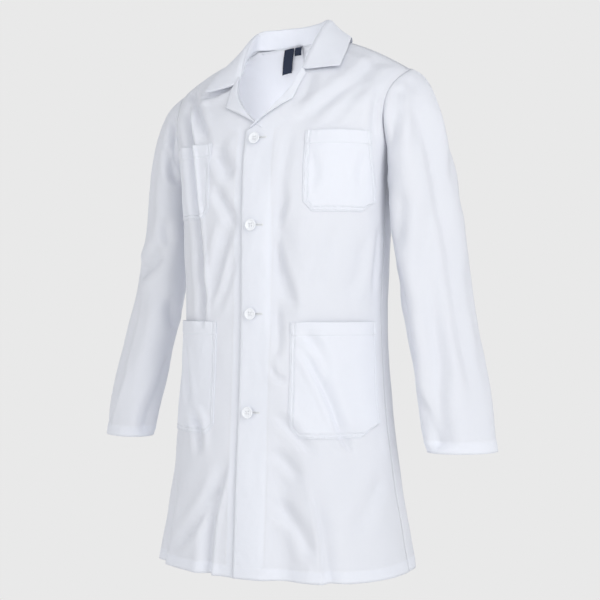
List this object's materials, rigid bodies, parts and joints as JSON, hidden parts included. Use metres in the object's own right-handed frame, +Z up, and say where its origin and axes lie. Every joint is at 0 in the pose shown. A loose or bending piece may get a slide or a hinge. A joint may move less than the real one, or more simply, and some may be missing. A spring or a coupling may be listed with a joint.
{
  "type": "lab coat",
  "caption": "Long-sleeved white laboratory coat, buttoned at the front, with a notched collar, patch pockets on chest and hips, and a flared knee-length skirt.",
  "frame": {"origin": "centre of the coat's box in the plane of the hem", "axes": "+Z up towards the collar, -Y out of the buttoned front, +X towards the wearer's left"},
  "size_m": [0.743, 0.3154, 0.9434],
  "materials": {
    "shell_cloth": "plain-weave polyester and cotton, single layer, matt",
    "doubled_cloth": "the same cloth where it lies double or treble, matt and whiter",
    "collar_lining": "fused interlining and under collar cloth, matt",
    "sewing_thread": "white spun polyester thread, slight sheen",
    "button_plastic": "white four-hole polyester button, satin gloss",
    "label_fabric": "navy woven label, blank"
  },
  "bodies": {
    "torso": {"front_left": "shell_cloth", "facing_left": "doubled_cloth", "front_right": "shell_cloth", "facing_right": "doubled_cloth", "back_left": "shell_cloth", "back_right": "shell_cloth", "lapel_left": "doubled_cloth", "lapel_right": "doubled_cloth", "collar_stand": "doubled_cloth", "top_collar": "doubled_cloth", "collar_interlining": "collar_lining", "under_collar": "collar_lining", "chest_pocket_left": "doubled_cloth", "chest_pocket_right": "doubled_cloth", "hip_pocket_left": "doubled_cloth", "hip_pocket_right": "doubled_cloth", "buttonhole_stitch_1": "sewing_thread", "buttonhole_stitch_2": "sewing_thread", "buttonhole_stitch_3": "sewing_thread", "buttonhole_stitch_4": "sewing_thread"},
    "left_skirt": {"front_left_skirt": "shell_cloth", "facing_left_skirt": "doubled_cloth"},
    "left_upper_sleeve": {"sleeve_upper_left": "shell_cloth"},
    "right_upper_sleeve": {"sleeve_upper_right": "shell_cloth"},
    "left_lower_sleeve": {"sleeve_lower_left": "shell_cloth"},
    "right_lower_sleeve": {"sleeve_lower_right": "shell_cloth"},
    "neck_label": {"neck_label": "label_fabric"},
    "size_tab": {"size_tab": "label_fabric"},
    "button_1": {"button_1": "button_plastic", "button_thread_1": "sewing_thread"},
    "button_2": {"button_2": "button_plastic", "button_thread_2": "sewing_thread"},
    "button_3": {"button_3": "button_plastic", "button_thread_3": "sewing_thread"},
    "button_4": {"button_4": "button_plastic", "button_thread_4": "sewing_thread"}
  },
  "joints": [
    {"name": "left_shoulder", "type": "hinge", "parent": "torso", "child": "left_upper_sleeve", "pos_m": [0.221, 0.0467, 0.847], "axis": [0, -1, 0], "range_deg": [0, 70]},
    {"name": "left_elbow", "type": "hinge", "parent": "left_upper_sleeve", "child": "left_lower_sleeve", "pos_m": [0.268, -0.0273, 0.45], "axis": [-1, 0, 0], "range_deg": [0, 75]},
    {"name": "right_shoulder", "type": "hinge", "parent": "torso", "child": "right_upper_sleeve", "pos_m": [-0.221, 0.0467, 0.847], "axis": [0, 1, 0], "range_deg": [0, 70]},
    {"name": "right_elbow", "type": "hinge", "parent": "right_upper_sleeve", "child": "right_lower_sleeve", "pos_m": [-0.268, -0.0273, 0.45], "axis": [-1, 0, 0], "range_deg": [0, 75]},
    {"name": "left_skirt_flare", "type": "hinge", "parent": "torso", "child": "left_skirt", "pos_m": [0, -0.1463, 0.232], "axis": [-0.6327, -0.0537, 0.7725], "range_deg": [0, 35]},
    {"name": "neck_label_swing", "type": "hinge", "parent": "torso", "child": "neck_label", "pos_m": [-0.022, 0.0707, 0.9], "axis": [-1, 0, 0], "range_deg": [0, 80]},
    {"name": "size_tab_swing", "type": "hinge", "parent": "torso", "child": "size_tab", "pos_m": [-0.004, 0.0707, 0.9], "axis": [-1, 0, 0], "range_deg": [0, 80]},
    {"name": "button_1_twist", "type": "hinge", "parent": "torso", "child": "button_1", "pos_m": [0, -0.11697, 0.71946], "axis": [0, -0.9787, 0.2053], "range_deg": [-25, 25]},
    {"name": "button_2_twist", "type": "hinge", "parent": "torso", "child": "button_2", "pos_m": [0, -0.13033, 0.57515], "axis": [0, -0.9998, 0.0215], "range_deg": [-25, 25]},
    {"name": "button_3_twist", "type": "hinge", "parent": "torso", "child": "button_3", "pos_m": [0, -0.13234, 0.42922], "axis": [0, -0.9995, 0.0313], "range_deg": [-25, 25]},
    {"name": "button_4_twist", "type": "hinge", "parent": "torso", "child": "button_4", "pos_m": [0, -0.14178, 0.26846], "axis": [0, -0.9979, 0.0646], "range_deg": [-25, 25]}
  ]
}
